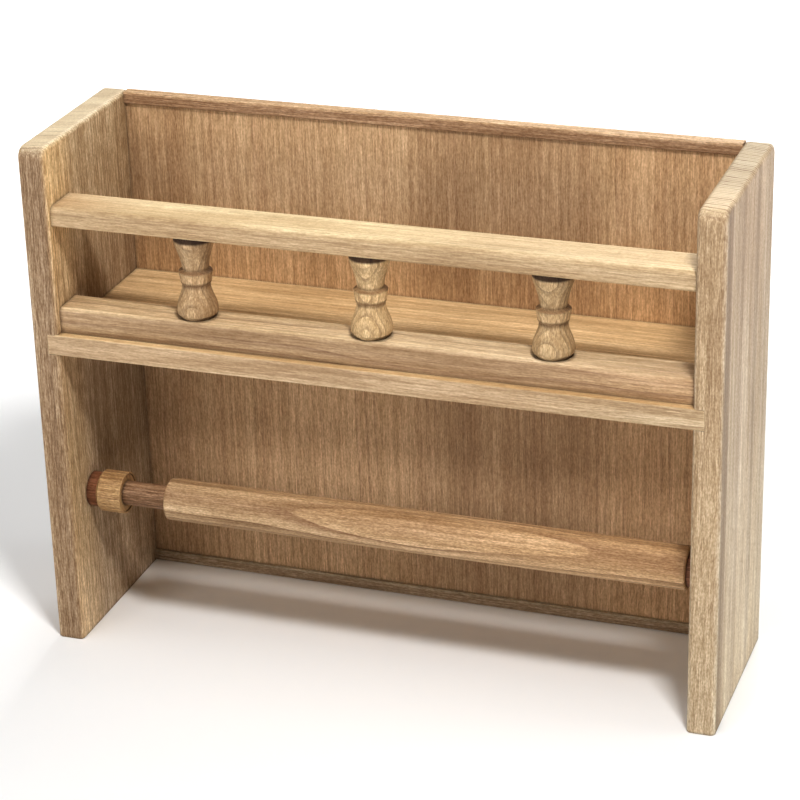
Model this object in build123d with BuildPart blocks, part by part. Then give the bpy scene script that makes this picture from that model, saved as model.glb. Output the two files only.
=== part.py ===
from build123d import *
import os

# Teak paper-towel rack for a galley wall: a spice shelf with a turned gallery rail above, and a
# spring-loaded telescopic wooden roller below.
# Lengths are in millimetres. X runs along the roller, the open front faces -Y and Z is up.
# The origin is on the underside, below the middle of the rack.

# Overall size
RACK_WIDTH = 346.0
RACK_HEIGHT = 266.0
RACK_DEPTH = 102.0

# Side panels
SIDE_THICKNESS = 14.0
SIDE_CORNER_RADIUS = 6.0
SIDE_EASE = 2.5

# Shelf, let into a housing in each side
SHELF_TOP = 170.0
SHELF_THICKNESS = 10.5
HOUSING_DEPTH = 5.5
SHELF_EASE = 0.5

# Back panel in a stopped rebate, with a thin rail along its top and bottom
PANEL_THICKNESS = 7.5
REBATE_WIDTH = 6.0
BACK_RAIL_DEPTH = 9.0
BACK_RAIL_HEIGHT = 6.0
BACK_RAIL_CORNER = 4.0
BACK_RAIL_EASE = 0.5
PIN_SHANK_RADIUS = 0.75
PIN_LENGTH = 18.0
PIN_HEAD_RADIUS = 1.4
PIN_HEAD_HEIGHT = 0.6
PIN_MARGIN = 40.0

# Gallery: base rail on the shelf, top rail, and three turned spindles between them
BASE_RAIL_SETBACK = 4.5
BASE_RAIL_DEPTH = 18.5
BASE_RAIL_HEIGHT = 13.0
BASE_RAIL_ROUND = 2.2
TOP_RAIL_SETBACK = 3.0
TOP_RAIL_DEPTH = 22.0
TOP_RAIL_HEIGHT = 10.0
TOP_RAIL_TOP = 236.0
TOP_RAIL_ROUND = 3.0
RAIL_EASE = 0.8
DOWEL_PIN_RADIUS = 3.0
DOWEL_PIN_LENGTH = 20.0
DOWEL_PIN_IN_SIDE = 8.0
SPINDLE_PITCH = 89.5
SPINDLE_SETBACK = 14.5
TENON_RADIUS = 3.5
TENON_UPPER = 7.0
TENON_LOWER = 8.0

# Turned profile of a spindle: radius and height above the base rail
FOOT_RADIUS = 8.3
BULB = [(9.9, 2.2), (9.95, 5.6), (8.7, 9.8), (7.3, 13.6), (6.9, 17.0)]
COLLAR = [(7.5, 18.0), (8.3, 23.4)]
CUP = [(6.4, 24.7), (6.95, 28.5), (8.2, 33.3), (9.3, 36.4), (9.95, 38.6)]
CUP_RADIUS = 10.0

# Countersunk screws up through the shelf into the base rail
SCREW_SPOTS = [-124.0, -45.0, 45.0, 124.0]
SCREW_RADIUS = 1.7
SCREW_LENGTH = 20.0
SCREW_POINT = 4.0
SCREW_TIP_RADIUS = 0.2
SCREW_HEAD_RADIUS = 3.4
SCREW_HEAD_HEIGHT = 2.0
RECESS_SPAN = 3.6
RECESS_SLOT = 0.8
RECESS_DEPTH = 1.3

# Roller
ROLLER_SETBACK = 25.5
ROLLER_HEIGHT = 75.0
ROLLER_RADIUS = 10.75
ROLLER_GAP = 5.4
ROLLER_EASE = 1.2
NOSE_RADIUS = 8.9
NOSE_SOCKET_DEPTH = 4.5
NOSE_END_CLEARANCE = 0.3
NOSE_EASE = 0.6
RUNNING_CLEARANCE = 0.05
HEAD_LENGTH = 13.8
HEAD_CHAMFER = 1.5
HEAD_DISH_DEPTH = 0.6
HEAD_RIM = 0.9
HEAD_RIM_CHAMFER = 0.3
SHAFT_RADIUS = 6.25
SHAFT_EXPOSED = 23.9
SHAFT_IN_DOWEL = 40.0
SPRING_SPACE = 48.0
SPRING_WIRE_RADIUS = 0.5
SPRING_MEAN_RADIUS = 5.2
SPRING_TURNS = 14
NOSE_TENON_RADIUS = 3.5
NOSE_TENON_LENGTH = 12.0

# Planes and levels worked out from the sizes above
FRONT_Y = -RACK_DEPTH / 2
REAR_Y = RACK_DEPTH / 2
INNER_X = RACK_WIDTH / 2 - SIDE_THICKNESS
PANEL_FRONT_Y = REAR_Y - PANEL_THICKNESS
PANEL_HEIGHT = RACK_HEIGHT - 2 * BACK_RAIL_HEIGHT
SHELF_BOTTOM = SHELF_TOP - SHELF_THICKNESS
BASE_RAIL_TOP = SHELF_TOP + BASE_RAIL_HEIGHT
BASE_RAIL_Y = FRONT_Y + BASE_RAIL_SETBACK + BASE_RAIL_DEPTH / 2
TOP_RAIL_BOTTOM = TOP_RAIL_TOP - TOP_RAIL_HEIGHT
TOP_RAIL_Y = FRONT_Y + TOP_RAIL_SETBACK + TOP_RAIL_DEPTH / 2
TOP_RAIL_MID_Z = TOP_RAIL_TOP - TOP_RAIL_HEIGHT / 2
SPINDLE_Y = FRONT_Y + SPINDLE_SETBACK
SPINDLE_HEIGHT = TOP_RAIL_BOTTOM - BASE_RAIL_TOP
SPINDLE_SPOTS = {
    "spindle_left": -SPINDLE_PITCH,
    "spindle_centre": 0.0,
    "spindle_right": SPINDLE_PITCH,
}
PIN_X = INNER_X + REBATE_WIDTH / 2
PIN_LEVELS = [PIN_MARGIN, RACK_HEIGHT / 2, RACK_HEIGHT - PIN_MARGIN]

# Stations along the roller, left to right
ROLLER_Y = FRONT_Y + ROLLER_SETBACK
NOSE_END_X = INNER_X + NOSE_SOCKET_DEPTH - NOSE_END_CLEARANCE
HEAD_LEFT_X = -INNER_X + ROLLER_GAP
HEAD_RIGHT_X = HEAD_LEFT_X + HEAD_LENGTH
DOWEL_LEFT_X = HEAD_RIGHT_X + SHAFT_EXPOSED
SHAFT_RIGHT_X = DOWEL_LEFT_X + SHAFT_IN_DOWEL
BORE_END_X = SHAFT_RIGHT_X + SPRING_SPACE
DOWEL_RIGHT_X = INNER_X - ROLLER_GAP

ROLLER_PLANE = Plane(origin=(0, ROLLER_Y, ROLLER_HEIGHT), x_dir=(1, 0, 0), z_dir=(0, -1, 0))
ROLLER_AXIS = Axis((0, ROLLER_Y, ROLLER_HEIGHT), (1, 0, 0))

os.makedirs("parts", exist_ok=True)


def inner_face(y, z):
    """Plane on the right side's inner face, looking into the rack."""
    return Plane(origin=(INNER_X, y, z), z_dir=(-1, 0, 0))


def half_section(x_start, x_end, radius, mode=Mode.ADD):
    """Rectangle above the roller's axis, which turns into a cylinder about it."""
    with Locations((x_start, 0)):
        Rectangle(x_end - x_start, radius, align=Align.MIN, mode=mode)


def rail_block(y, z_bottom, depth, height):
    """Plain bar between the two sides."""
    with Locations((0, y, z_bottom)):
        Box(2 * INNER_X, depth, height, align=(Align.CENTER, Align.CENTER, Align.MIN))


def rail_edges(part):
    return part.edges().filter_by(Axis.X)


# --- Side panels -------------------------------------------------------------------------------

with BuildPart() as side_panel_right:
    with BuildSketch(Plane.YZ.offset(INNER_X)):
        with Locations((0, RACK_HEIGHT / 2)):
            side_outline = Rectangle(RACK_DEPTH, RACK_HEIGHT)
        fillet(side_outline.vertices().group_by(Axis.Y)[-1], SIDE_CORNER_RADIUS)
    extrude(amount=SIDE_THICKNESS)
    board_edges = side_panel_right.faces().filter_by(Axis.X).edges()
    fillet(board_edges.filter_by(lambda edge: edge.center().Z > SIDE_EASE), SIDE_EASE)
    # Housing for the shelf, open at the front edge
    with Locations((INNER_X, FRONT_Y, SHELF_BOTTOM)):
        Box(
            HOUSING_DEPTH,
            PANEL_FRONT_Y - FRONT_Y,
            SHELF_THICKNESS,
            align=Align.MIN,
            mode=Mode.SUBTRACT,
        )
    # Rebate for the back panel, stopped short of the two back rails
    with Locations((INNER_X, PANEL_FRONT_Y, BACK_RAIL_HEIGHT)):
        Box(REBATE_WIDTH, PANEL_THICKNESS, PANEL_HEIGHT, align=Align.MIN, mode=Mode.SUBTRACT)
    # Socket for the roller's nose, and the hole for the top rail's dowel pin
    with Locations(inner_face(ROLLER_Y, ROLLER_HEIGHT)):
        Hole(NOSE_RADIUS + RUNNING_CLEARANCE, NOSE_SOCKET_DEPTH)
    with Locations(inner_face(TOP_RAIL_Y, TOP_RAIL_MID_Z)):
        Hole(DOWEL_PIN_RADIUS, DOWEL_PIN_IN_SIDE)
    # Holes for the panel pins, in the bottom of the rebate
    for level in PIN_LEVELS:
        with Locations(Plane(origin=(PIN_X, PANEL_FRONT_Y, level), z_dir=(0, 1, 0))):
            Hole(PIN_SHANK_RADIUS, PIN_LENGTH - PANEL_THICKNESS)
side_panel_right.part.label = "side_panel_right"
export_step(side_panel_right.part, "parts/side_panel_right.step")

with BuildPart() as side_panel_left:
    mirror(side_panel_right.part, about=Plane.YZ)
side_panel_left.part.label = "side_panel_left"
export_step(side_panel_left.part, "parts/side_panel_left.step")


# --- Shelf and back ----------------------------------------------------------------------------

with BuildPart() as shelf:
    with Locations((0, FRONT_Y, SHELF_BOTTOM)):
        Box(
            2 * (INNER_X + HOUSING_DEPTH),
            PANEL_FRONT_Y - FRONT_Y,
            SHELF_THICKNESS,
            align=(Align.CENTER, Align.MIN, Align.MIN),
        )
    fillet(rail_edges(shelf).group_by(Axis.Y)[0], SHELF_EASE)
    for spot in SCREW_SPOTS:
        with Locations(Plane(origin=(spot, BASE_RAIL_Y, SHELF_BOTTOM), z_dir=(0, 0, -1))):
            Cone(
                SCREW_RADIUS,
                SCREW_HEAD_RADIUS,
                SCREW_HEAD_HEIGHT,
                align=(Align.CENTER, Align.CENTER, Align.MAX),
                mode=Mode.SUBTRACT,
            )
            Hole(SCREW_RADIUS, SHELF_THICKNESS)
shelf.part.label = "shelf"
export_step(shelf.part, "parts/shelf.step")

with BuildPart() as back_panel:
    with Locations((0, PANEL_FRONT_Y, BACK_RAIL_HEIGHT)):
        Box(
            2 * (INNER_X + REBATE_WIDTH),
            PANEL_THICKNESS,
            PANEL_HEIGHT,
            align=(Align.CENTER, Align.MIN, Align.MIN),
        )
    for level in PIN_LEVELS:
        for side in (-1, 1):
            with Locations(Plane(origin=(side * PIN_X, REAR_Y, level), z_dir=(0, 1, 0))):
                CounterBoreHole(
                    PIN_SHANK_RADIUS, PIN_HEAD_RADIUS, PIN_HEAD_HEIGHT, PANEL_THICKNESS
                )
back_panel.part.label = "back_panel"
export_step(back_panel.part, "parts/back_panel.step")

with BuildPart() as back_panel_pins:
    for level in PIN_LEVELS:
        for side in (-1, 1):
            with Locations(Plane(origin=(side * PIN_X, REAR_Y, level), z_dir=(0, -1, 0))):
                Cylinder(
                    PIN_HEAD_RADIUS,
                    PIN_HEAD_HEIGHT,
                    align=(Align.CENTER, Align.CENTER, Align.MIN),
                )
                Cylinder(
                    PIN_SHANK_RADIUS,
                    PIN_LENGTH,
                    align=(Align.CENTER, Align.CENTER, Align.MIN),
                )
back_panel_pins.part.label = "back_panel_pins"
export_step(back_panel_pins.part, "parts/back_panel_pins.step")

with BuildPart() as back_top_rail:
    rail_block(
        REAR_Y - BACK_RAIL_DEPTH / 2,
        RACK_HEIGHT - BACK_RAIL_HEIGHT,
        BACK_RAIL_DEPTH,
        BACK_RAIL_HEIGHT,
    )
    top_edges = rail_edges(back_top_rail).group_by(Axis.Z)[-1]
    fillet(top_edges.sort_by(Axis.Y)[-1], BACK_RAIL_CORNER)
    front_edges = rail_edges(back_top_rail).group_by(Axis.Y)[0]
    fillet(front_edges, BACK_RAIL_EASE)
back_top_rail.part.label = "back_top_rail"
export_step(back_top_rail.part, "parts/back_top_rail.step")

with BuildPart() as back_bottom_rail:
    rail_block(REAR_Y - BACK_RAIL_DEPTH / 2, 0, BACK_RAIL_DEPTH, BACK_RAIL_HEIGHT)
    fillet(rail_edges(back_bottom_rail).group_by(Axis.Y)[0], BACK_RAIL_EASE)
back_bottom_rail.part.label = "back_bottom_rail"
export_step(back_bottom_rail.part, "parts/back_bottom_rail.step")


# --- Gallery -----------------------------------------------------------------------------------

with BuildPart() as gallery_base_rail:
    rail_block(BASE_RAIL_Y, SHELF_TOP, BASE_RAIL_DEPTH, BASE_RAIL_HEIGHT)
    base_top_edges = rail_edges(gallery_base_rail).group_by(Axis.Z)[-1].sort_by(Axis.Y)
    fillet(base_top_edges[0], BASE_RAIL_ROUND)
    fillet(base_top_edges[-1], RAIL_EASE)
    for spot in SPINDLE_SPOTS.values():
        with Locations((spot, SPINDLE_Y, BASE_RAIL_TOP)):
            Hole(TENON_RADIUS, TENON_LOWER)
    for spot in SCREW_SPOTS:
        with Locations((spot, BASE_RAIL_Y, SHELF_BOTTOM)):
            Cylinder(
                SCREW_RADIUS,
                SCREW_LENGTH,
                align=(Align.CENTER, Align.CENTER, Align.MIN),
                mode=Mode.SUBTRACT,
            )
gallery_base_rail.part.label = "gallery_base_rail"
export_step(gallery_base_rail.part, "parts/gallery_base_rail.step")

with BuildPart() as gallery_top_rail:
    rail_block(TOP_RAIL_Y, TOP_RAIL_BOTTOM, TOP_RAIL_DEPTH, TOP_RAIL_HEIGHT)
    top_edges = rail_edges(gallery_top_rail).sort_by(Axis.Z)
    bottom_edges = top_edges[:2]
    top_edges = top_edges[2:].sort_by(Axis.Y)
    fillet(bottom_edges, RAIL_EASE)
    fillet(top_edges[0], TOP_RAIL_ROUND)
    fillet(top_edges[-1], RAIL_EASE)
    for spot in SPINDLE_SPOTS.values():
        with Locations(Plane(origin=(spot, SPINDLE_Y, TOP_RAIL_BOTTOM), z_dir=(0, 0, -1))):
            Hole(TENON_RADIUS, TENON_UPPER)
    for side in (-1, 1):
        rail_end = (side * INNER_X, TOP_RAIL_Y, TOP_RAIL_MID_Z)
        with Locations(Plane(origin=rail_end, z_dir=(side, 0, 0))):
            Hole(DOWEL_PIN_RADIUS, DOWEL_PIN_LENGTH - DOWEL_PIN_IN_SIDE)
gallery_top_rail.part.label = "gallery_top_rail"
export_step(gallery_top_rail.part, "parts/gallery_top_rail.step")

with BuildPart() as gallery_dowel_pins:
    for side in (-1, 1):
        pin_end = (side * (INNER_X + DOWEL_PIN_IN_SIDE), TOP_RAIL_Y, TOP_RAIL_MID_Z)
        with Locations(Plane(origin=pin_end, z_dir=(-side, 0, 0))):
            Cylinder(
                DOWEL_PIN_RADIUS,
                DOWEL_PIN_LENGTH,
                align=(Align.CENTER, Align.CENTER, Align.MIN),
            )
gallery_dowel_pins.part.label = "gallery_dowel_pins"
export_step(gallery_dowel_pins.part, "parts/gallery_dowel_pins.step")

for spindle_name, spindle_x in SPINDLE_SPOTS.items():
    spindle_origin = (spindle_x, SPINDLE_Y, BASE_RAIL_TOP)
    with BuildPart() as spindle:
        with BuildSketch(Plane(origin=spindle_origin, x_dir=(1, 0, 0), z_dir=(0, -1, 0))):
            with BuildLine():
                Polyline((0, SPINDLE_HEIGHT), (0, 0), (FOOT_RADIUS, 0), BULB[0])
                Spline(*BULB)
                Polyline(BULB[-1], *COLLAR, CUP[0])
                Spline(*CUP)
                Polyline(CUP[-1], (CUP_RADIUS, SPINDLE_HEIGHT), (0, SPINDLE_HEIGHT))
            make_face()
        revolve(axis=Axis(spindle_origin, (0, 0, 1)))
        with Locations((spindle_x, SPINDLE_Y, BASE_RAIL_TOP - TENON_LOWER)):
            Cylinder(
                TENON_RADIUS,
                TENON_LOWER + SPINDLE_HEIGHT + TENON_UPPER,
                align=(Align.CENTER, Align.CENTER, Align.MIN),
            )
    spindle.part.label = spindle_name
    export_step(spindle.part, f"parts/{spindle_name}.step")

with BuildPart() as gallery_screws:
    for spot in SCREW_SPOTS:
        with Locations((spot, BASE_RAIL_Y, SHELF_BOTTOM)):
            Cylinder(
                SCREW_RADIUS,
                SCREW_LENGTH,
                align=(Align.CENTER, Align.CENTER, Align.MIN),
            )
            Cone(
                SCREW_HEAD_RADIUS,
                SCREW_RADIUS,
                SCREW_HEAD_HEIGHT,
                align=(Align.CENTER, Align.CENTER, Align.MIN),
            )
    tip_edges = gallery_screws.edges().group_by(Axis.Z)[-1]
    chamfer(tip_edges, SCREW_POINT, SCREW_RADIUS - SCREW_TIP_RADIUS)
    # Cross recess in each head
    for spot in SCREW_SPOTS:
        with Locations((spot, BASE_RAIL_Y, SHELF_BOTTOM)):
            for length, width in ((RECESS_SPAN, RECESS_SLOT), (RECESS_SLOT, RECESS_SPAN)):
                Box(
                    length,
                    width,
                    RECESS_DEPTH,
                    align=(Align.CENTER, Align.CENTER, Align.MIN),
                    mode=Mode.SUBTRACT,
                )
gallery_screws.part.label = "gallery_screws"
export_step(gallery_screws.part, "parts/gallery_screws.step")


# --- Roller ------------------------------------------------------------------------------------

with BuildPart() as roller_dowel:
    with BuildSketch(ROLLER_PLANE):
        half_section(DOWEL_LEFT_X, DOWEL_RIGHT_X, ROLLER_RADIUS)
        half_section(DOWEL_LEFT_X, BORE_END_X, SHAFT_RADIUS + RUNNING_CLEARANCE, Mode.SUBTRACT)
        half_section(
            DOWEL_RIGHT_X - NOSE_TENON_LENGTH, DOWEL_RIGHT_X, NOSE_TENON_RADIUS, Mode.SUBTRACT
        )
    revolve(axis=ROLLER_AXIS)
    rims = roller_dowel.edges().filter_by(GeomType.CIRCLE)
    fillet(rims.filter_by(lambda edge: edge.radius > ROLLER_RADIUS - ROLLER_EASE), ROLLER_EASE)
roller_dowel.part.label = "roller_dowel"
export_step(roller_dowel.part, "parts/roller_dowel.step")

with BuildPart() as roller_nose:
    with BuildSketch(ROLLER_PLANE):
        half_section(DOWEL_RIGHT_X, NOSE_END_X, NOSE_RADIUS)
        half_section(DOWEL_RIGHT_X - NOSE_TENON_LENGTH, DOWEL_RIGHT_X, NOSE_TENON_RADIUS)
    revolve(axis=ROLLER_AXIS)
    fillet(roller_nose.faces().sort_by(Axis.X)[-1].edges(), NOSE_EASE)
roller_nose.part.label = "roller_nose"
export_step(roller_nose.part, "parts/roller_nose.step")

with BuildPart() as roller_spring:
    with BuildLine():
        coil_line = Helix(
            pitch=(SPRING_SPACE - 2 * SPRING_WIRE_RADIUS) / SPRING_TURNS,
            height=SPRING_SPACE - 2 * SPRING_WIRE_RADIUS,
            radius=SPRING_MEAN_RADIUS,
            center=(SHAFT_RIGHT_X + SPRING_WIRE_RADIUS, ROLLER_Y, ROLLER_HEIGHT),
            direction=(1, 0, 0),
        )
    with BuildSketch(Plane(origin=coil_line @ 0, z_dir=coil_line % 0)):
        Circle(SPRING_WIRE_RADIUS)
    sweep(is_frenet=True)
roller_spring.part.label = "roller_spring"
export_step(roller_spring.part, "parts/roller_spring.step")

with BuildPart() as plunger_shaft:
    with BuildSketch(ROLLER_PLANE):
        half_section(HEAD_LEFT_X, SHAFT_RIGHT_X, SHAFT_RADIUS)
        half_section(
            HEAD_LEFT_X, HEAD_LEFT_X + NOSE_TENON_LENGTH, NOSE_TENON_RADIUS, Mode.SUBTRACT
        )
    revolve(axis=ROLLER_AXIS)
    chamfer(plunger_shaft.faces().sort_by(Axis.X)[-1].edges(), NOSE_EASE)
plunger_shaft.part.label = "plunger_shaft"
export_step(plunger_shaft.part, "parts/plunger_shaft.step")

with BuildPart() as plunger_head:
    with BuildSketch(ROLLER_PLANE):
        half_section(HEAD_LEFT_X, HEAD_RIGHT_X, ROLLER_RADIUS)
        half_section(
            HEAD_RIGHT_X - HEAD_DISH_DEPTH,
            HEAD_RIGHT_X,
            ROLLER_RADIUS - HEAD_RIM,
            Mode.SUBTRACT,
        )
        half_section(HEAD_LEFT_X, HEAD_RIGHT_X, SHAFT_RADIUS, Mode.SUBTRACT)
    revolve(axis=ROLLER_AXIS)
    outer_rims = plunger_head.edges().filter_by(GeomType.CIRCLE)
    outer_rims = outer_rims.filter_by(lambda edge: edge.radius > ROLLER_RADIUS - HEAD_RIM / 2)
    outer_rims = outer_rims.sort_by(Axis.X)
    chamfer(outer_rims[0], HEAD_CHAMFER)
    chamfer(outer_rims[-1], HEAD_RIM_CHAMFER)
plunger_head.part.label = "plunger_head"
export_step(plunger_head.part, "parts/plunger_head.step")

with BuildPart() as plunger_nose:
    with BuildSketch(ROLLER_PLANE):
        half_section(-NOSE_END_X, HEAD_LEFT_X, NOSE_RADIUS)
        half_section(HEAD_LEFT_X, HEAD_LEFT_X + NOSE_TENON_LENGTH, NOSE_TENON_RADIUS)
    revolve(axis=ROLLER_AXIS)
    fillet(plunger_nose.faces().sort_by(Axis.X)[0].edges(), NOSE_EASE)
plunger_nose.part.label = "plunger_nose"
export_step(plunger_nose.part, "parts/plunger_nose.step")
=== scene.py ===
import math

import bmesh
import bpy
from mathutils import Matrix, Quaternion, Vector


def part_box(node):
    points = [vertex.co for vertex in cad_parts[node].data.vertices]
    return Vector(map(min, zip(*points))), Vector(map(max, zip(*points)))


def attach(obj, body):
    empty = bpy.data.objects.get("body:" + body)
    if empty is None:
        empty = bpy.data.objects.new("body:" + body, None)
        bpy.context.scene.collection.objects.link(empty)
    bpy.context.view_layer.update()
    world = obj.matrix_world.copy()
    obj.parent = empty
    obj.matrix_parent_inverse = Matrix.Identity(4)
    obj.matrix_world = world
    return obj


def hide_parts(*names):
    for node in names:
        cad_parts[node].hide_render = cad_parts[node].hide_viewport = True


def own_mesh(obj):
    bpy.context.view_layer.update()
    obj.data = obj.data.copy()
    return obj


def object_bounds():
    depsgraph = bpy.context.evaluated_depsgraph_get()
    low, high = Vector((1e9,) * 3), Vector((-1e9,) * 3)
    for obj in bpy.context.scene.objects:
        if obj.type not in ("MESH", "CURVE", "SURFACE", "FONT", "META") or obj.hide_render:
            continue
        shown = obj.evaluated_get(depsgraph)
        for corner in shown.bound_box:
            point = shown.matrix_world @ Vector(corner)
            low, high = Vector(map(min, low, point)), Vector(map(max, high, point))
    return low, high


# Teak paper-towel rack. The CAD bodies keep their shape; this script gives every piece its wood or
# metal, and sets the floor, the lights and the camera. Lengths are in metres.

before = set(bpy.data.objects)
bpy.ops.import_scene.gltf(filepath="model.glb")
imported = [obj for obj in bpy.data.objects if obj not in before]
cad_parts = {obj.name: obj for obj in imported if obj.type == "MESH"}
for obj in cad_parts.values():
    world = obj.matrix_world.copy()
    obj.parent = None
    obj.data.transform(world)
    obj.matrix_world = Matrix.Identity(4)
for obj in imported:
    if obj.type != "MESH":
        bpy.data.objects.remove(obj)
cad_low, cad_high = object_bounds()
centre = (cad_low + cad_high) / 2
size = cad_high - cad_low
rear_y = cad_high.y

MM = 0.001
ALPHA = (1.0,)
WHITE = (1.0, 1.0, 1.0, 1.0)
PLAIN = (1.0, 1.0, 1.0)  # a tint that changes nothing


# --- Shader building ---------------------------------------------------------------------------


def tone(red, green, blue):
    """Display colour, 0 to 255, as a linear shader colour."""
    return tuple((c / 255) ** 2.2 for c in (red, green, blue)) + ALPHA


class Graph:
    """A material whose nodes are added and joined by short calls."""

    def __init__(self, name):
        self.material = bpy.data.materials.new(name)
        self.material.use_nodes = True
        self.tree = self.material.node_tree
        self.tree.nodes.clear()
        self.shader = self.add("ShaderNodeBsdfPrincipled")
        output = self.add("ShaderNodeOutputMaterial")
        self.tree.links.new(self.shader.outputs["BSDF"], output.inputs["Surface"])

    def add(self, kind, **settings):
        node = self.tree.nodes.new(kind)
        for key, value in settings.items():
            setattr(node, key, value)
        return node

    def feed(self, socket, value):
        """A socket takes another node's output, or a plain value."""
        if isinstance(value, bpy.types.NodeSocket):
            self.tree.links.new(value, socket)
        else:
            socket.default_value = value

    def math(self, operation, *values, clamp=False):
        """Values or sockets through one Math node."""
        node = self.add("ShaderNodeMath", operation=operation, use_clamp=clamp)
        for socket, value in zip(node.inputs, values):
            self.feed(socket, value)
        return node.outputs[0]

    def product(self, first, second):
        """Vectors or colours multiplied part by part."""
        node = self.add("ShaderNodeVectorMath", operation="MULTIPLY")
        self.feed(node.inputs[0], first)
        self.feed(node.inputs[1], second)
        return node.outputs[0]

    def split(self, vector):
        node = self.add("ShaderNodeSeparateXYZ")
        self.feed(node.inputs[0], vector)
        return node.outputs[0], node.outputs[1], node.outputs[2]

    def join(self, x, y, z):
        node = self.add("ShaderNodeCombineXYZ")
        for socket, value in zip(node.inputs, (x, y, z)):
            self.feed(socket, value)
        return node.outputs[0]

    def noise(self, vector, detail=2.0):
        node = self.add("ShaderNodeTexNoise", noise_dimensions="3D")
        self.feed(node.inputs["Vector"], vector)
        node.inputs["Scale"].default_value = 1.0
        node.inputs["Detail"].default_value = detail
        return node

    def step(self, value, start, end):
        """0 before start, 1 after end, smooth between them."""
        node = self.add("ShaderNodeMapRange", interpolation_type="SMOOTHSTEP")
        self.feed(node.inputs[0], value)
        node.inputs[1].default_value = start
        node.inputs[2].default_value = end
        return node.outputs[0]

    def span(self, value, low, high):
        """A 0 to 1 value spread over low to high."""
        return self.math("MULTIPLY_ADD", value, high - low, low)

    def mix(self, share, first, second):
        """The first colour where share is 0, the second where it is 1."""
        node = self.add("ShaderNodeMix", data_type="RGBA")
        self.feed(node.inputs[0], share)
        self.feed(node.inputs[6], first)
        self.feed(node.inputs[7], second)
        return node.outputs[2]

    def edges(self, radius):
        """1 on an edge sharper than radius, 0 on flat ground."""
        bevel = self.add("ShaderNodeBevel", samples=4)
        bevel.inputs["Radius"].default_value = radius
        ground = self.add("ShaderNodeNewGeometry")
        dot = self.add("ShaderNodeVectorMath", operation="DOT_PRODUCT")
        self.feed(dot.inputs[0], bevel.outputs[0])
        self.feed(dot.inputs[1], ground.outputs["True Normal"])
        return self.step(self.math("SUBTRACT", 1.0, dot.outputs["Value"]), 0.01, 0.16)

    def corners(self, reach):
        """1 in an inner corner, 0 at reach from it: the mask of the painted shade in the corners.
        """
        cavity = self.add("ShaderNodeAmbientOcclusion", samples=6)
        cavity.inputs["Distance"].default_value = reach
        return self.step(self.math("SUBTRACT", 1.0, cavity.outputs["AO"]), 0.18, 0.50)

    def warm(self, shade):
        """A grey factor as a colour factor. Darker wood is redder."""
        return self.join(
            self.math("POWER", shade, 0.80), shade, self.math("POWER", shade, 1.25)
        )

    def by_face(self, normal, tones):
        """A tint that turns from one tone to the next as the surface turns from X to Y to Z."""
        tint = (0.0, 0.0, 0.0)
        for part, face_tone in zip(self.split(self.product(normal, normal)), tones):
            node = self.add("ShaderNodeVectorMath", operation="MULTIPLY_ADD")
            self.feed(node.inputs[0], part)
            node.inputs[1].default_value = face_tone
            self.feed(node.inputs[2], tint)
            tint = node.outputs[0]
        return tint


# --- Wood --------------------------------------------------------------------------------------

WOOD_LOOK = {
    "ring": 2.4 * MM,  # one year's growth
    "wander": 9 * MM,  # how far the rings stray from true cylinders
    "ring_depth": 0.6,  # how far the late wood turns to the dark tone
    "band": 0.6,  # contrast of the broad bands of colour
    "vein": 0.12,  # of the streaks 5 mm wide
    "streak": 0.20,  # of those 1 mm wide
    "hair": 0.20,  # of the lines half a millimetre wide
    "grit": 0.16,  # of short specks
    "blotch": 0.14,  # and of the clouds 25 mm wide
    "dash": 0.0,  # short light dashes of sliced veneer
    "pore": 0.5,  # how dark the pores are
    "pore_width": 0.25 * MM,
    "pore_length": 2.6 * MM,
    "pore_cover": 0.57,  # a lower value makes more pores
    "end_rings": 1.0,  # how much stronger the late wood is in the end grain
    "drifts": (),  # axis, facing axis or None, and tints with their places along the first axis
    "faces": (PLAIN, PLAIN, PLAIN),  # tints of the surfaces that face X, Y and Z; partly painted light and shade, mostly lighter tops and darker fronts
    "roughness": 0.55,
    "wear": 0.35,  # how pale the arrises are, partly wear and partly a painted highlight
    "rubbed_and_lit_radius": 1.4 * MM,
    "grime": 0.8,  # how dark the painted shade in the inner corners is
    "grime_reach": 2.5 * MM,
}
# Colour of the painted shade that darkens the inner corners
CORNER_SHADE_TINT = (0.17, 0.14, 0.12)
SEED_STEP = 0.731  # along the fibres, so that no two pieces share their figure
BANDS_ACROSS, BANDS_ALONG = 85.0, 1.3  # broad bands of colour to a metre
DASHES = (1600, 1600, 330)
WOOD_SPECULAR = 0.32
PORE_RELIEF = 0.2 * MM


def fibre_space(g, place, grain, heart, seed):
    """Place across, over and along the fibres, from the middle of the tree."""
    x, y, z = g.split(place)
    across, over, along = (y, z, x) if grain == "X" else (x, y, z)
    across = g.math("SUBTRACT", across, heart[0])
    over = g.math("SUBTRACT", over, heart[1])
    return g.join(across, over, g.math("ADD", along, seed * SEED_STEP))


def ring_radius(g, spot, wander):
    """Distance from the middle of the tree, as bent as the fibres are."""
    across, over, _ = g.split(spot)
    bend = g.split(g.noise(g.product(spot, (11, 11, 4.5))).outputs["Color"])
    across = g.math("ADD", across, g.span(bend[0], -wander, wander))
    over = g.math("ADD", over, g.span(bend[1], -wander, wander))
    flat = g.join(across, over, 0.0)
    length = g.add("ShaderNodeVectorMath", operation="LENGTH")
    g.feed(length.inputs[0], flat)
    tremor = g.noise(g.product(spot, (90, 90, 9))).outputs[0]
    return g.math("ADD", length.outputs["Value"], g.span(tremor, -0.6 * MM, 0.6 * MM))


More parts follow.
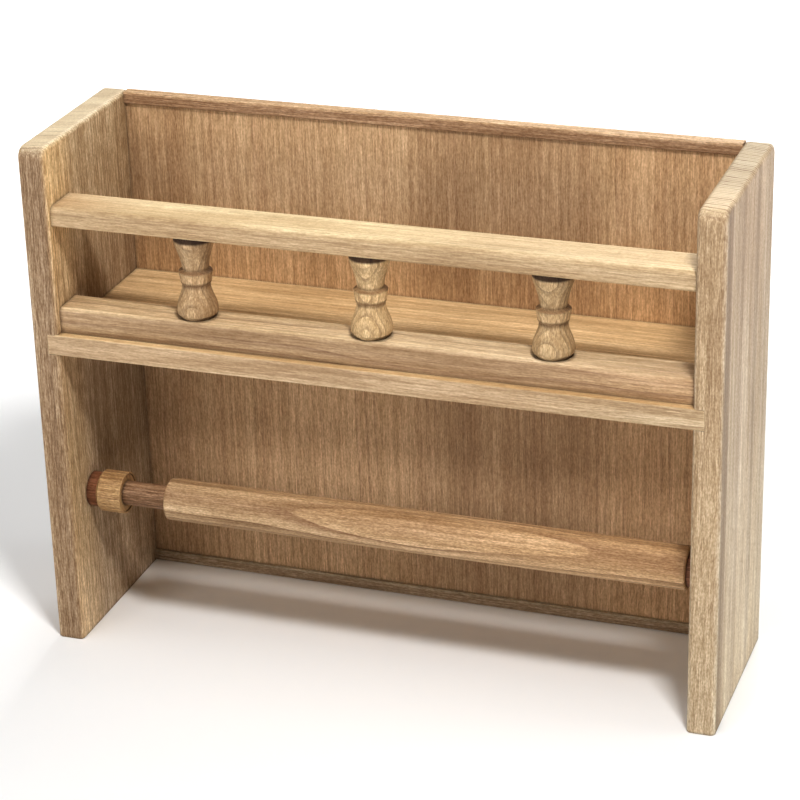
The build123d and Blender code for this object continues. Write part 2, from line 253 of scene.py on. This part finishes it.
def late_wood(g, radius, ring, seed):
    """Rises through each ring to its dark outer line. Some years are darker than others."""
    rings = g.math("DIVIDE", radius, ring)
    phase = g.math("FRACT", rings)
    year = g.add("ShaderNodeTexWhiteNoise", noise_dimensions="1D")
    g.feed(year.inputs["W"], g.math("ADD", g.math("FLOOR", rings), seed * 17.0))
    late = g.math("MULTIPLY", g.math("POWER", phase, 2.5), g.step(phase, 1.0, 0.93))
    return phase, g.math("MULTIPLY", late, g.span(year.outputs["Value"], 0.35, 1.25))


def drift(g, place, axis, stops):
    """A tint that changes gently from one place to the next along an axis."""
    along = g.split(place)["XYZ".index(axis)]
    tint = stops[0][1] + ALPHA
    for (start, _), (end, next_tint) in zip(stops, stops[1:]):
        tint = g.mix(g.step(along, start, end), tint, next_tint + ALPHA)
    return tint


def figure(g, spot, look):
    """Streaks, fine lines and blotches of the fibres, and the shade that they make, about 1."""
    layers = {}
    for layer, across, along, detail, low in (
        ("blotch", 38, 9, 3.0, 0.30),
        ("vein", 210, 8, 2.0, 0.32),
        ("streak", 900, 16, 2.0, 0.30),
        ("hair", 1900, 150, 1.0, 0.32),
        ("grit", 1500, 620, 1.0, 0.32),
    ):
        noise = g.noise(g.product(spot, (across, across, along)), detail=detail).outputs[0]
        layers[layer] = g.step(noise, low, 1.0 - low)
    shade = 1.0
    for layer, height in layers.items():
        contrast = look[layer]
        shade = g.math("MULTIPLY", shade, g.span(height, 1.0 - contrast, 1.0 + contrast))
    return shade, layers


def wood(name, grain, heart, tones, seed, **changes):
    """Solid wood, figured through and through.

    grain is the axis the fibres follow and heart the middle of the tree in the plane across it, so
    that the growth rings are cylinders about it. tones are light, middle, dark and pore.
    """
    look = {**WOOD_LOOK, **changes}
    g = Graph(name)
    light, middle, dark, pore = tones
    place = g.add("ShaderNodeTexCoord")
    normal = place.outputs["Normal"]
    spot = fibre_space(g, place.outputs["Object"], grain, heart, seed)
    radius = ring_radius(g, spot, look["wander"])
    phase, late = late_wood(g, radius, look["ring"], seed)
    shade, layers = figure(g, spot, look)
    facing = g.product(normal, normal)
    end_grain = g.split(facing)["XYZ".index(grain)]
    side_grain = g.span(end_grain, 1.0, 0.25)
    shade = g.math("MULTIPLY_ADD", g.math("SUBTRACT", shade, 1.0), side_grain, 1.0)
    late = g.math("MULTIPLY", late, g.span(layers["vein"], 0.5, 1.3))
    late = g.math("MULTIPLY", late, g.span(end_grain, 1.0, look["end_rings"]))

    # Broad bands of colour, late wood, fibres, dashes and pores
    _, _, along = g.split(spot)
    lane_across = g.math("MULTIPLY", radius, BANDS_ACROSS)
    lane_along = g.math("MULTIPLY", along, BANDS_ALONG)
    lane = g.join(lane_across, lane_along, seed)
    broad = g.noise(lane).outputs[0]
    spread = 0.3 / look["band"]
    colour = g.mix(g.step(broad, 0.5 - spread, 0.5 + spread), middle, light)
    colour = g.mix(g.math("MULTIPLY", late, look["ring_depth"]), colour, dark)
    colour = g.product(colour, g.warm(shade))
    if look["dash"]:
        dashes = g.noise(g.product(spot, DASHES), detail=1.0).outputs[0]
        colour = g.mix(g.math("MULTIPLY", g.step(dashes, 0.46, 0.62), look["dash"]), colour, light)
    width, length = look["pore_width"], look["pore_length"]
    speck = g.noise(g.product(spot, (1 / width, 1 / width, 1 / length)), detail=1.0).outputs[0]
    cover = look["pore_cover"]
    pores = g.math("MULTIPLY", g.step(speck, cover, cover + 0.12), g.span(phase, 1.0, 0.5))
    pores = g.math("MULTIPLY", g.math("MULTIPLY", pores, side_grain), g.span(broad, 1.5, 0.3))
    colour = g.mix(g.math("MULTIPLY", pores, look["pore"]), colour, pore)
    # Face tints: partly the grain's own tone, partly painted light and shade by facing
    colour = g.product(colour, g.by_face(normal, look["faces"]))
    for axis, face, stops in look["drifts"]:
        tint = drift(g, place.outputs["Object"], axis, stops)
        if face:
            tint = g.mix(g.split(facing)["XYZ".index(face)], WHITE, tint)
        colour = g.product(colour, tint)

    # Arrises made pale by wear and a painted highlight, and painted shade in the inner corners
    # Pale arrises: partly real wear, partly a painted highlight on the rounded edges
    arris = g.edges(look["rubbed_and_lit_radius"])
    rubbed_and_lit = g.math("MULTIPLY", arris, g.span(layers["streak"], 0.4, 1.2), clamp=True)
    colour = g.mix(g.math("MULTIPLY", rubbed_and_lit, look["wear"]), colour, light)
    # Painted shade: the inner corners darkened through an occlusion mask
    corner_shade_share = g.math("MULTIPLY", g.corners(look["grime_reach"]), look["grime"])
    colour = g.mix(corner_shade_share, colour, g.product(colour, CORNER_SHADE_TINT))
    g.feed(g.shader.inputs["Base Color"], colour)

    # Duller in the pores, and fibres and pores in low relief
    dull = g.span(layers["hair"], look["roughness"] - 0.1, look["roughness"] + 0.1)
    dull = g.math("ADD", dull, g.math("MULTIPLY", pores, 0.15))
    g.feed(g.shader.inputs["Roughness"], dull)
    g.shader.inputs["Specular IOR Level"].default_value = WOOD_SPECULAR
    height = g.math("MULTIPLY_ADD", layers["hair"], 0.3, g.math("MULTIPLY", layers["streak"], 0.5))
    height = g.math("MULTIPLY", height, side_grain)
    height = g.math("SUBTRACT", height, g.math("MULTIPLY", pores, 0.9))
    height = g.math("SUBTRACT", height, g.math("MULTIPLY", late, 0.25))
    bump = g.add("ShaderNodeBump")
    bump.inputs["Strength"].default_value = 0.6
    bump.inputs["Distance"].default_value = PORE_RELIEF
    g.feed(bump.inputs["Height"], height)
    g.feed(g.shader.inputs["Normal"], bump.outputs[0])
    return g.material


# --- Metal -------------------------------------------------------------------------------------


def steel(name, colour, roughness, drawn):
    """Plain steel with fine drawing marks and slight tarnish. drawn stretches the marks."""
    g = Graph(name)
    place = g.add("ShaderNodeTexCoord")
    marks = g.noise(g.product(place.outputs["Object"], drawn), detail=3.0).outputs[0]
    tarnish = g.noise(g.product(place.outputs["Object"], (260, 260, 260)), detail=3.0).outputs[0]
    duller = tuple(c * 0.62 for c in colour[:3]) + ALPHA
    g.feed(g.shader.inputs["Base Color"], g.mix(g.step(tarnish, 0.42, 0.72), colour, duller))
    g.feed(g.shader.inputs["Roughness"], g.span(marks, roughness - 0.1, roughness + 0.14))
    g.shader.inputs["Metallic"].default_value = 1.0
    bump = g.add("ShaderNodeBump")
    bump.inputs["Strength"].default_value = 0.3
    bump.inputs["Distance"].default_value = 0.03 * MM
    g.feed(bump.inputs["Height"], marks)
    g.feed(g.shader.inputs["Normal"], bump.outputs[0])
    return g.material


# --- The boards and turnings, each cut from its own place in the tree --------------------------

LEFT_TONES = (tone(204, 183, 147), tone(178, 153, 118), tone(120, 92, 68), tone(84, 60, 46))
RIGHT_TONES = (tone(210, 197, 175), tone(186, 166, 140), tone(133, 106, 86), tone(92, 66, 54))
PANEL_TONES = (tone(211, 182, 145), tone(184, 150, 115), tone(138, 100, 72), tone(100, 69, 48))
RAIL_TONES = (tone(224, 203, 166), tone(204, 175, 136), tone(146, 110, 79), tone(104, 72, 51))
BASE_TONES = (tone(199, 174, 139), tone(176, 144, 113), tone(124, 91, 71), tone(87, 61, 48))
BACK_RAIL_TONES = (tone(190, 160, 129), tone(163, 131, 100), tone(105, 76, 58), tone(72, 49, 38))
ROLLER_TONES = (tone(202, 174, 138), tone(183, 149, 112), tone(128, 92, 64), tone(91, 62, 44))
HEAD_TONES = (tone(199, 168, 125), tone(172, 135, 93), tone(117, 80, 55), tone(82, 53, 37))
SHAFT_TONES = (tone(167, 136, 105), tone(127, 92, 68), tone(80, 52, 38), tone(51, 33, 25))
DARK_TONES = (tone(160, 112, 82), tone(132, 88, 64), tone(88, 54, 40), tone(58, 36, 28))
TURNED_TONES = (tone(224, 198, 157), tone(192, 161, 119), tone(119, 87, 60), tone(79, 57, 40))
DIM_TURNED_TONES = (tone(197, 169, 133), tone(164, 133, 98), tone(95, 71, 48), tone(62, 43, 31))
FAR_TURNED_TONES = (tone(202, 175, 137), tone(168, 138, 101), tone(97, 74, 49), tone(64, 45, 32))


def dress(node, material):
    """The node wears this one material."""
    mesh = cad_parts[node].data
    mesh.materials.clear()
    mesh.materials.append(material)
    mesh.polygons.foreach_set("material_index", [0] * len(mesh.polygons))


def dress_side(node, tones, seed, lean, lines, end_rings, faces, drifts):
    """lean moves the middle of the tree sideways and lines scales the contrast of the fibres."""
    low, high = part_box(node)
    heart = ((low.x + high.x) / 2 + lean, rear_y + 0.11)
    dress(node, wood("teak_" + node, "Z", heart, tones, seed, ring=2.1 * MM, wander=5 * MM,
                     ring_depth=0.28, streak=0.2 * lines, hair=0.3 * lines, grit=0.15, vein=0.11,
                     blotch=0.10, pore=0.25, end_rings=end_rings, grime=0.55, faces=faces,
                     drifts=drifts))


def dress_left_side():
    """Painted light near the front edge of the side faces, painted shade across their middle with
    painted light at the top and foot, and all faces a little darker towards the top.
    """
    rise = ((0.2 * size.z, (1.06, 1.06, 1.05)), (0.9 * size.z, (0.93, 0.93, 0.94)))
    outside = ((cad_low.x + 1 * MM, (1.10, 1.0, 0.92)), (cad_low.x + 4 * MM, PLAIN))
    # Painted light: the side faces lighter near the front edge
    lit_front = (
        (cad_low.y + 2 * MM, (1.38, 1.34, 1.20)),
        (cad_low.y + 14 * MM, (1.22, 1.20, 1.10)),
        (cad_low.y + 34 * MM, PLAIN),
    )
    # Painted shade across the middle of the side faces, under the shelf, and painted light at the
    # top and foot
    wall_light_and_shade = (
        (0.05 * size.z, (1.03, 1.05, 1.10)),
        (0.36 * size.z, (0.84, 0.85, 0.87)),
        (0.56 * size.z, (0.87, 0.87, 0.90)),
        (0.93 * size.z, (1.22, 1.22, 1.15)),
    )
    dress_side("side_panel_left", LEFT_TONES, 1.0, -0.025, 1.05, 2.6,
               ((0.91, 0.89, 0.96), (0.74, 0.67, 0.68), (1.43, 1.57, 1.82)),
               (("Z", None, rise), ("X", "X", outside), ("Y", "X", lit_front), ("Z", "X", wall_light_and_shade)))


def dress_right_side():
    """Three darker bands run up the outer face. Painted light makes the outer and front faces paler
    and greyer towards the foot.
    """
    across = (
        (cad_low.y + 1 * MM, PLAIN),
        (cad_low.y + 4 * MM, (0.64, 0.59, 0.55)),
        (cad_low.y + 11 * MM, (0.70, 0.64, 0.60)),
        (cad_low.y + 15 * MM, (1.03, 1.02, 1.0)),
        (cad_low.y + 30 * MM, (0.92, 0.89, 0.87)),
        (cad_low.y + 36 * MM, (0.87, 0.83, 0.81)),
        (cad_low.y + 42 * MM, (1.10, 1.10, 1.11)),
        (cad_low.y + 60 * MM, (1.07, 1.06, 1.06)),
        (cad_low.y + 65 * MM, (0.82, 0.77, 0.74)),
        (cad_low.y + 69 * MM, (0.84, 0.80, 0.77)),
        (cad_low.y + 74 * MM, (1.08, 1.07, 1.06)),
        (cad_low.y + 98 * MM, (0.96, 0.95, 0.95)),
    )
    depth = ((cad_low.y + 10 * MM, (1.15, 1.12, 1.1)), (0.0, (0.95, 0.95, 0.96)))
    # Painted light: paler and greyer towards the foot, darker towards the top
    outer_foot_light = (
        (0.05 * size.z, (1.22, 1.27, 1.27)),
        (0.30 * size.z, (1.13, 1.16, 1.17)),
        (0.55 * size.z, (0.98, 0.97, 0.96)),
        (0.92 * size.z, (0.88, 0.82, 0.78)),
    )
    front_foot_light = (
        (0.08 * size.z, (1.20, 1.28, 1.37)),
        (0.45 * size.z, (1.0, 1.0, 0.99)),
        (0.95 * size.z, (0.82, 0.78, 0.74)),
    )
    dress_side("side_panel_right", RIGHT_TONES, 2.0, 0.025, 0.72, 4.5,
               ((0.90, 0.88, 0.86), (0.92, 0.82, 0.71), (1.00, 0.99, 0.91)),
               (("Y", "X", across), ("Y", "Z", depth),
                ("Z", "X", outer_foot_light), ("Z", "Y", front_foot_light)))


def dress_back_panel():
    """Straight-grained veneer, dark right of the middle."""
    across = (
        (-0.42 * size.x, (0.92, 0.91, 0.90)),
        (-0.26 * size.x, PLAIN),
        (-0.08 * size.x, PLAIN),
        (0.05 * size.x, (0.78, 0.75, 0.73)),
        (0.20 * size.x, (0.80, 0.77, 0.75)),
        (0.32 * size.x, (0.99, 0.96, 0.93)),
    )
    upward = (
        (0.06 * size.z, (1.10, 1.09, 1.09)),
        (0.24 * size.z, (1.08, 1.07, 1.08)),
        (0.48 * size.z, (1.04, 1.04, 1.04)),
        (0.70 * size.z, (1.07, 1.05, 1.02)),
        (0.84 * size.z, (0.89, 0.89, 0.90)),
        (0.96 * size.z, (1.05, 1.05, 1.05)),
    )
    dress("back_panel", wood("teak_veneer", "Z", (0.60, rear_y + 0.12), PANEL_TONES, 3.0,
                             ring=4.6 * MM, ring_depth=0.34, wander=6 * MM, vein=0.07,
                             streak=0.15, hair=0.18, grit=0.13, dash=0.35, pore=0.10,
                             pore_length=1.6 * MM, blotch=0.12, grime=0.3,
                             drifts=(("X", None, across), ("Z", None, upward))))


def dress_back_rails():
    """The upper half, where the rounded bead catches the light, is painted lighter: a painted
    highlight.
    """
    for seed, (node, lower, upper) in enumerate((
        ("back_top_rail", (0.96, 0.93, 0.92), (1.50, 1.61, 1.67)),
        ("back_bottom_rail", (0.88, 0.94, 0.98), (0.97, 1.17, 1.30)),
    )):
        low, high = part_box(node)
        heart = (high.y + 0.03, high.z + 0.05)
        middle = (low.z + high.z) / 2
        # Painted highlight on the upper half of the rail
        bead_highlight = ((middle + 1.0 * MM, lower), (middle + 2.6 * MM, upper))
        dress(node, wood("teak_" + node, "X", heart, BACK_RAIL_TONES, 4.0 + seed, ring=1.8 * MM,
                         ring_depth=0.4, grime=0.0, drifts=(("Z", None, bead_highlight),)))


def dress_shelf_and_rails():
    """Both gallery rails and the shelf vary in colour along their length."""
    base_front = ((0.2 * size.x, (0.97, 0.97, 0.97)), (0.46 * size.x, (1.2, 1.2, 1.2)))
    rail_top = (
        (-0.45 * size.x, (0.84, 0.79, 0.77)),
        (-0.28 * size.x, (1.05, 1.06, 1.06)),
        (0.0, (1.05, 1.06, 1.05)),
        (0.20 * size.x, (0.98, 0.96, 0.95)),
    )
    base_top = (
        (-0.25 * size.x, (0.93, 0.89, 0.85)),
        (0.10 * size.x, (1.07, 1.09, 1.13)),
        (0.30 * size.x, (1.07, 1.09, 1.13)),
        (0.45 * size.x, (0.95, 0.94, 0.97)),
    )
    shelf_front = (
        (-0.45 * size.x, (0.88, 0.85, 0.82)),
        (-0.25 * size.x, (1.02, 1.01, 1.0)),
        (0.10 * size.x, PLAIN),
        (0.42 * size.x, (1.04, 1.08, 1.10)),
    )
    for seed, (node, tones, depth, faces, drifts) in enumerate((
        ("shelf", RAIL_TONES, 0.36, (PLAIN, (0.81, 0.77, 0.79), (0.96, 0.90, 0.82)),
         (("X", "Y", shelf_front),)),
        ("gallery_base_rail", BASE_TONES, 0.5, (PLAIN, (0.90, 0.88, 0.86), (1.27, 1.39, 1.44)),
         (("X", "Y", base_front), ("X", "Z", base_top))),
        ("gallery_top_rail", RAIL_TONES, 0.2, (PLAIN, (0.79, 0.76, 0.76), (1.0, 1.03, 1.04)),
         (("X", "Z", rail_top),)),
    )):
        low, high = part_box(node)
        heart = (high.y + 0.02 + 0.015 * seed, low.z - 0.06)
        dress(node, wood("teak_" + node, "X", heart, tones, 7.0 + seed, ring=3.6 * MM,
                         wander=9 * MM, ring_depth=depth, streak=0.13, hair=0.14, grit=0.07,
                         vein=0.12, pore=0.2, wear=0.5, grime=0.5, faces=faces, drifts=drifts))


def dress_spindles():
    """Painted shade in the grooves on both sides of the pale collar, and a painted shadow just
    under the top rail.
    """
    under_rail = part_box("gallery_top_rail")[0].z
    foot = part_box("gallery_base_rail")[1].z
    groove_shade = (0.58, 0.52, 0.48)
    collar = (1.12, 1.12, 1.12)
    rail_shadow = (0.14, 0.10, 0.08)
    # Painted shade in the grooves, a lighter collar, and a painted shadow of the top rail at the
    # cup's top
    turned_shading = (
        (foot + 15.0 * MM, PLAIN),
        (foot + 17.0 * MM, groove_shade),
        (foot + 18.1 * MM, groove_shade),
        (foot + 19.2 * MM, collar),
        (foot + 22.8 * MM, collar),
        (foot + 23.7 * MM, groove_shade),
        (foot + 24.6 * MM, groove_shade),
        (foot + 26.5 * MM, PLAIN),
        (under_rail - 4.0 * MM, PLAIN),
        (under_rail - 2.5 * MM, rail_shadow),
    )
    for seed, (node, tones) in enumerate((
        ("spindle_left", DIM_TURNED_TONES),
        ("spindle_centre", TURNED_TONES),
        ("spindle_right", FAR_TURNED_TONES),
    )):
        low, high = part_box(node)
        heart = ((low.x + high.x) / 2 + 0.004 * (seed - 1), high.y + 0.045)
        dress(node, wood("teak_" + node, "Z", heart, tones, 11.0 + seed, ring=1.9 * MM,
                         wander=3 * MM, ring_depth=0.5, vein=0.14, streak=0.12, hair=0.14,
                         grit=0.16, pore=0.3, wear=0.5, grime=0.75, grime_reach=4 * MM,
                         drifts=(("Z", None, turned_shading),)))


def dress_roller():
    """The dowel is lighter at its right end. The shaft and both noses are a darker wood."""
    low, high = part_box("roller_dowel")
    mid_y = (low.y + high.y) / 2
    mid_z = (low.z + high.z) / 2
    lit_end = ((low.x, (0.95, 0.95, 0.95)), (0.42 * size.x, (1.18, 1.18, 1.18)))
    dress("roller_dowel", wood("teak_roller", "X", (mid_y + 0.05, mid_z - 0.03), ROLLER_TONES,
                               15.0, ring=3.4 * MM, wander=8 * MM, vein=0.2, streak=0.14,
                               hair=0.14, ring_depth=0.75, pore=0.3,
                               drifts=(("X", None, lit_end),)))
    dress("plunger_head", wood("teak_plunger_head", "X", (mid_y + 0.06, mid_z + 0.02),
                               HEAD_TONES, 16.0, ring=2.6 * MM, ring_depth=0.8, wear=0.6))
    for seed, (node, tones) in enumerate((
        ("plunger_shaft", SHAFT_TONES),
        ("plunger_nose", DARK_TONES),
        ("roller_nose", DARK_TONES),
    )):
        dress(node, wood("dark_" + node, "X", (mid_y + 0.03, mid_z + 0.03), tones,
                         17.0 + seed, ring=1.5 * MM, streak=0.3, hair=0.3, roughness=0.45))


def dress_fastenings():
    """Pins, screws and the spring, which few views show."""
    beech = (tone(232, 205, 165), tone(215, 185, 145), tone(180, 145, 105), tone(150, 115, 80))
    dress("gallery_dowel_pins", wood("beech", "X", (0.0, 0.3), beech, 21.0, ring=1.2 * MM))
    bright = (0.60, 0.59, 0.57, 1.0)
    dress("roller_spring", steel("spring_steel", bright, 0.3, (900, 900, 900)))
    dress("gallery_screws", steel("screw_steel", bright, 0.36, (3000, 3000, 300)))
    dress("back_panel_pins", steel("pin_steel", bright, 0.42, (2500, 400, 2500)))


dress_left_side()
dress_right_side()
dress_back_panel()
dress_back_rails()
dress_shelf_and_rails()
dress_spindles()
dress_roller()
dress_fastenings()


# --- Spring ------------------------------------------------------------------------------------


def press_spring():
    """A copy of the spring takes the CAD spring's place and hangs from the roller's body."""
    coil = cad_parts["roller_spring"].copy()
    coil.data = coil.data.copy()
    coil.name = "spring_coil"
    for key in list(coil.keys()):
        del coil[key]
    coil.parent = None
    bpy.context.scene.collection.objects.link(coil)
    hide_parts("roller_spring")
    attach(coil, "roller")
    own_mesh(coil)


press_spring()


# --- Floor, lights and camera ------------------------------------------------------------------


def floor():
    """White floor that glows more with distance, so that it ends in the backdrop unseen."""
    mesh = bpy.data.meshes.new("floor")
    reach = 6.0
    level = cad_low.z - 0.2 * MM
    corners = [(-reach, -reach), (reach, -reach), (reach, reach), (-reach, reach)]
    mesh.from_pydata([(x, y, level) for x, y in corners], [], [(0, 1, 2, 3)])
    plane = bpy.data.objects.new("floor", mesh)
    bpy.context.scene.collection.objects.link(plane)
    g = Graph("floor_white")
    place = g.add("ShaderNodeTexCoord")
    haze = g.noise(g.product(place.outputs["Object"], (3, 3, 3))).outputs[0]
    white = g.mix(haze, (0.90, 0.90, 0.90, 1), (0.93, 0.93, 0.925, 1))
    g.feed(g.shader.inputs["Base Color"], white)
    g.shader.inputs["Roughness"].default_value = 0.9
    g.shader.inputs["Specular IOR Level"].default_value = 0.1
    x, y, _ = g.split(place.outputs["Object"])
    away = g.math("SQRT", g.math("ADD", g.math("MULTIPLY", x, x), g.math("MULTIPLY", y, y)))
    g.shader.inputs["Emission Color"].default_value = WHITE
    start, middle, end = 0.25, 0.8, 2.4
    glow = g.math("MULTIPLY", g.step(away, start, middle), 0.35)
    glow = g.math("MULTIPLY_ADD", g.step(away, middle, end), 0.65, glow)
    g.feed(g.shader.inputs["Emission Strength"], glow)
    mesh.materials.append(g.material)


def softbox(name, place, width, power, target):
    """A square area light of this width, aimed at the target."""
    data = bpy.data.lights.new(name, "AREA")
    data.shape = "SQUARE"
    data.size = width
    data.energy = power
    lamp = bpy.data.objects.new(name, data)
    lamp.location = place
    lamp.rotation_mode = "QUATERNION"
    lamp.rotation_quaternion = (target - Vector(place)).to_track_quat("-Z", "Y")
    bpy.context.scene.collection.objects.link(lamp)


def backdrop():
    """White all round, seen by the camera alone: it sends no light back to the rack."""
    mesh = bpy.data.meshes.new("backdrop")
    radius = 12.0
    ball = bmesh.new()
    bmesh.ops.create_icosphere(ball, subdivisions=4, radius=radius)
    ball.to_mesh(mesh)
    ball.free()
    dome = bpy.data.objects.new("backdrop", mesh)
    bpy.context.scene.collection.objects.link(dome)
    for sees_it in ("diffuse", "glossy", "transmission", "volume_scatter", "shadow"):
        setattr(dome, "visible_" + sees_it, False)
    g = Graph("backdrop_white")
    g.shader.inputs["Base Color"].default_value = (0.0, 0.0, 0.0, 1.0)
    g.shader.inputs["Emission Color"].default_value = WHITE
    g.shader.inputs["Emission Strength"].default_value = 1.0
    mesh.materials.append(g.material)


def studio():
    """One small hard key above the front right, and soft light from behind and both sides."""
    softbox("key", (0.45, -0.60, 1.28), 0.2, 10.8, centre)
    softbox("rear", (0.0, 1.53, 1.42), 0.8, 14.5, centre)
    softbox("side_right", (1.90, 0.34, 0.40), 0.8, 11.0, centre)
    softbox("side_left", (-0.80, -0.46, 1.90), 0.8, 5.5, centre)
    softbox("front", (-0.60, -1.66, 1.07), 0.9, 8.7, centre)
    softbox("overhead", (0.0, 0.0, 2.13), 0.8, 4.0, centre)
    world = bpy.data.worlds.new("studio")
    bpy.context.scene.world = world
    world.use_nodes = True
    world.node_tree.nodes["Background"].inputs[0].default_value = WHITE
    world.node_tree.nodes["Background"].inputs[1].default_value = 0.05


def photographer():
    """Camera at the product shot's angle: right of the front and above, tilted a little."""
    azimuth = math.radians(19.73)
    elevation = math.radians(24.21)
    roll = math.radians(-1.60)
    distance = 3.813 * size.x
    back = Vector((
        math.sin(azimuth) * math.cos(elevation),
        -math.cos(azimuth) * math.cos(elevation),
        math.sin(elevation),
    ))
    data = bpy.data.cameras.new("camera")
    data.sensor_width = 36.0
    data.lens = 120.2
    data.clip_start = 0.05
    camera = bpy.data.objects.new("camera", data)
    camera.location = centre + back * distance
    camera.rotation_mode = "QUATERNION"
    aim = (-back).to_track_quat("-Z", "Y")
    camera.rotation_quaternion = aim @ Quaternion((0, 0, 1), roll)
    bpy.context.scene.collection.objects.link(camera)
    bpy.context.scene.camera = camera


def develop():
    """Print contrast: deeper shadows under a white floor."""
    view = bpy.context.scene.view_settings
    view.view_transform = "Standard"
    view.exposure = 0.30
    view.gamma = 0.80


floor()
backdrop()
studio()
photographer()
develop()
